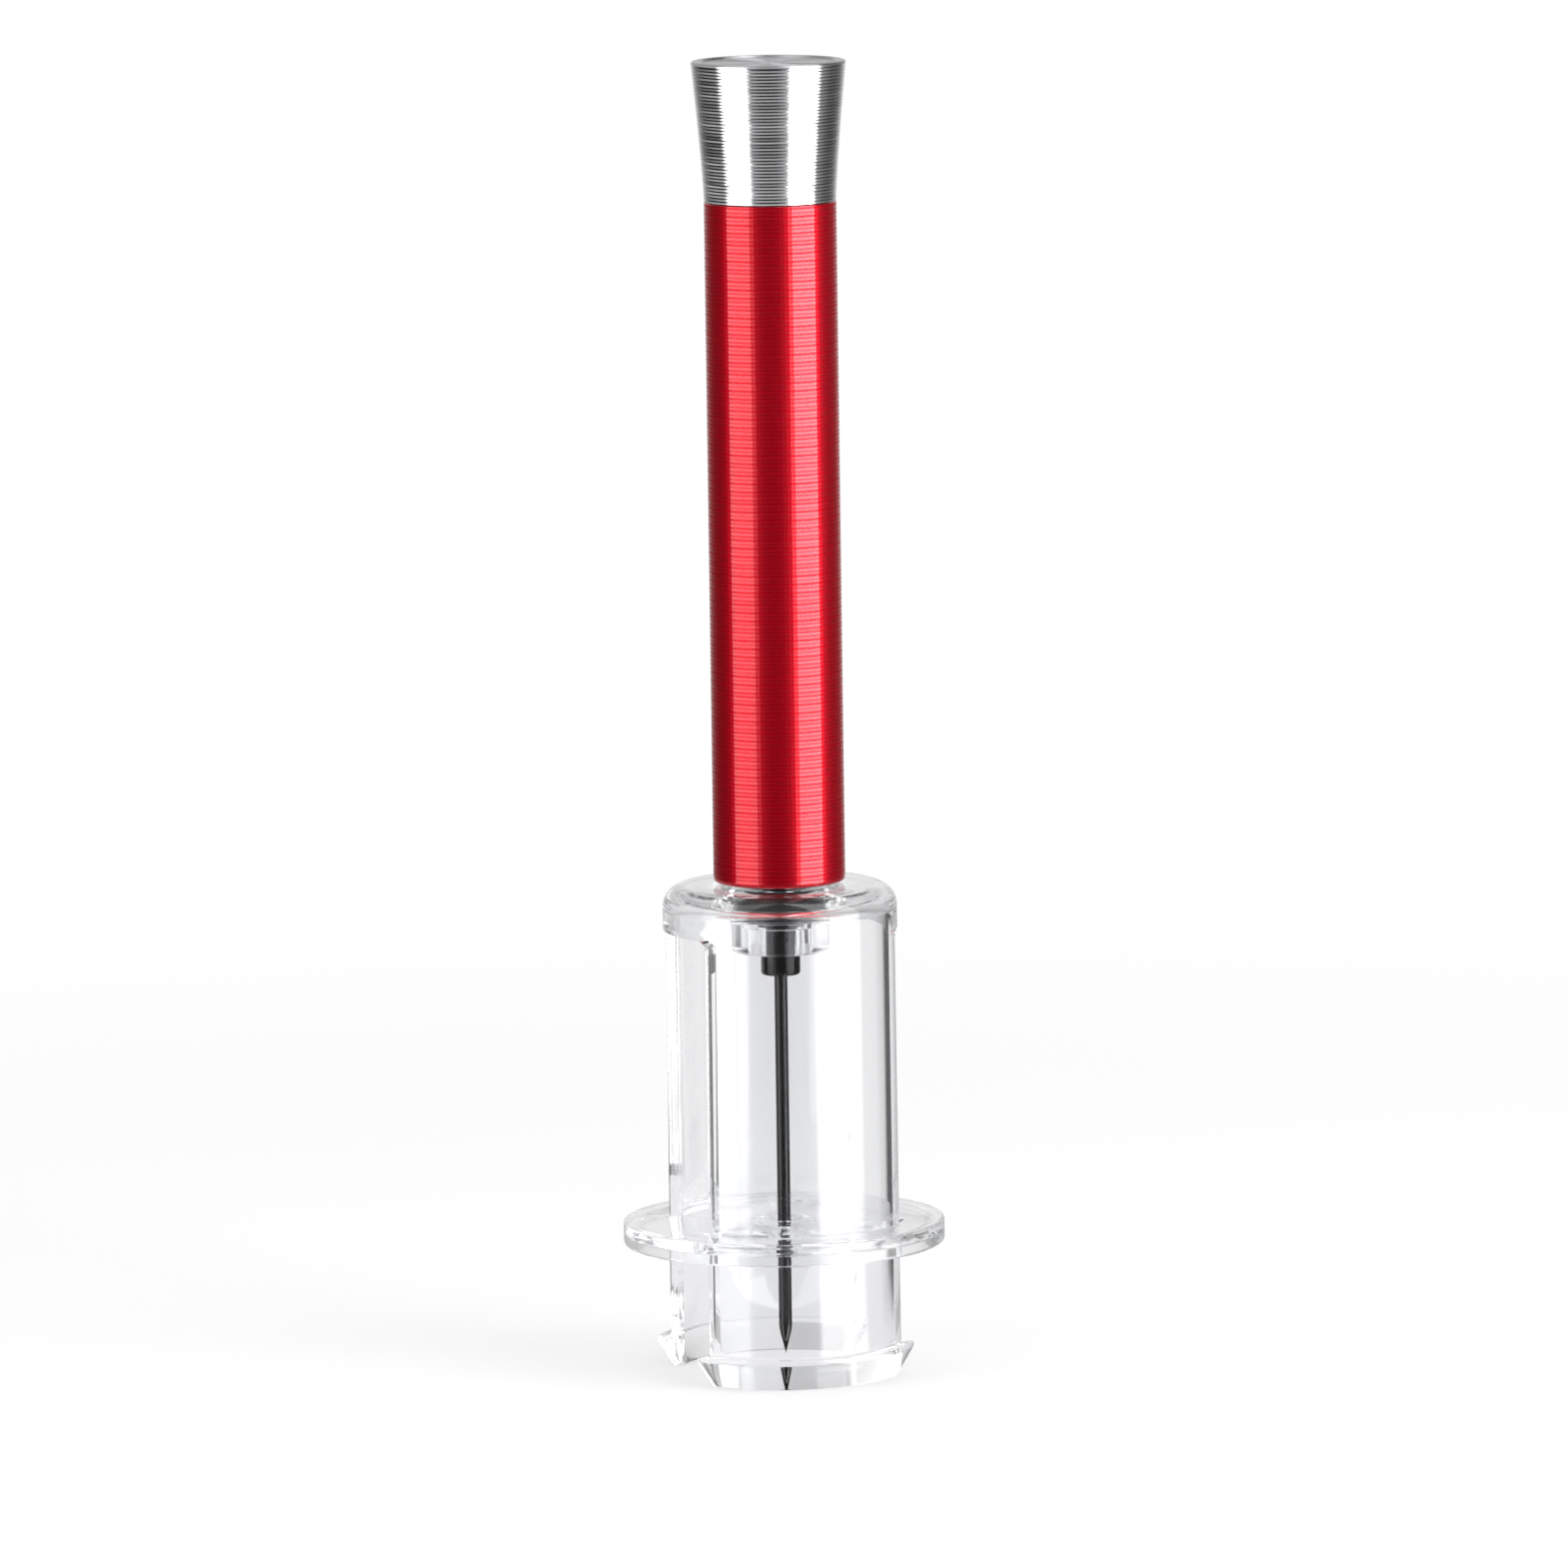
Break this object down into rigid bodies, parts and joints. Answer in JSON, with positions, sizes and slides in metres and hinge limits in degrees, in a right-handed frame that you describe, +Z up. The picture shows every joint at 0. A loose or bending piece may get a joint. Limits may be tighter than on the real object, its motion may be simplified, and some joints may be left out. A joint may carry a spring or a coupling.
{
  "type": "air pump wine opener",
  "caption": "Hand air pump with a flared cap and tube handle on a clear slotted sleeve, with a hollow needle and a sliding stopper ejector.",
  "frame": {"origin": "centre of the sleeve's rim, on the surface that the opener stands on", "axes": "+Z up along the pump's axis, the sleeve's two slots face along +X and -X"},
  "size_m": [0.0488, 0.0488, 0.1998],
  "materials": {
    "sleeve_plastic": "clear, polished",
    "ejector_plastic": "clear, polished",
    "hub_plastic": "moulded, semi-gloss",
    "needle_coating": "black non-stick coating, semi-gloss",
    "rubber": "matte",
    "base_plastic": "moulded, satin",
    "white_plastic": "moulded, satin",
    "steel": "bright",
    "red_anodised": "red anodised, fine turned grooves",
    "turned_aluminium": "turned, fine grooves"
  },
  "bodies": {
    "pump_body": {"clear_sleeve": "sleeve_plastic", "needle_hub": "hub_plastic", "needle": "needle_coating", "hub_gasket": "rubber", "pump_base": "base_plastic", "base_o_ring": "rubber", "valve_retainer": "white_plastic", "valve_spring": "steel", "pump_barrel": "white_plastic", "barrel_top_bush": "base_plastic"},
    "piston": {"piston_body": "white_plastic", "piston_cup": "rubber"},
    "handle": {"piston_screw": "steel", "piston_rod": "steel", "rod_screw": "steel", "handle_plug": "base_plastic", "handle_tube": "red_anodised", "handle_guide_bush": "white_plastic", "handle_cap": "turned_aluminium"},
    "ejector": {"ejector_disc": "ejector_plastic"},
    "valve": {"valve_ball": "steel"}
  },
  "joints": [
    {"name": "pump_stroke", "type": "slide", "parent": "pump_body", "child": "piston", "axis": [0, 0, 1], "range_m": [0, 0.063]},
    {"name": "handle_spin", "type": "hinge", "parent": "piston", "child": "handle", "pos_m": [0, 0, 0.0753], "axis": [0, 0, 1], "continuous": true},
    {"name": "ejector_slide", "type": "slide", "parent": "pump_body", "child": "ejector", "axis": [0, 0, 1], "range_m": [-0.0164, 0.0372]},
    {"name": "valve_lift", "type": "slide", "parent": "pump_body", "child": "valve", "axis": [0, 0, -1], "range_m": [0, 0.0008], "stiffness_N_per_m": 50, "springref_m": -0.001, "deforming": ["valve_spring"]}
  ]
}
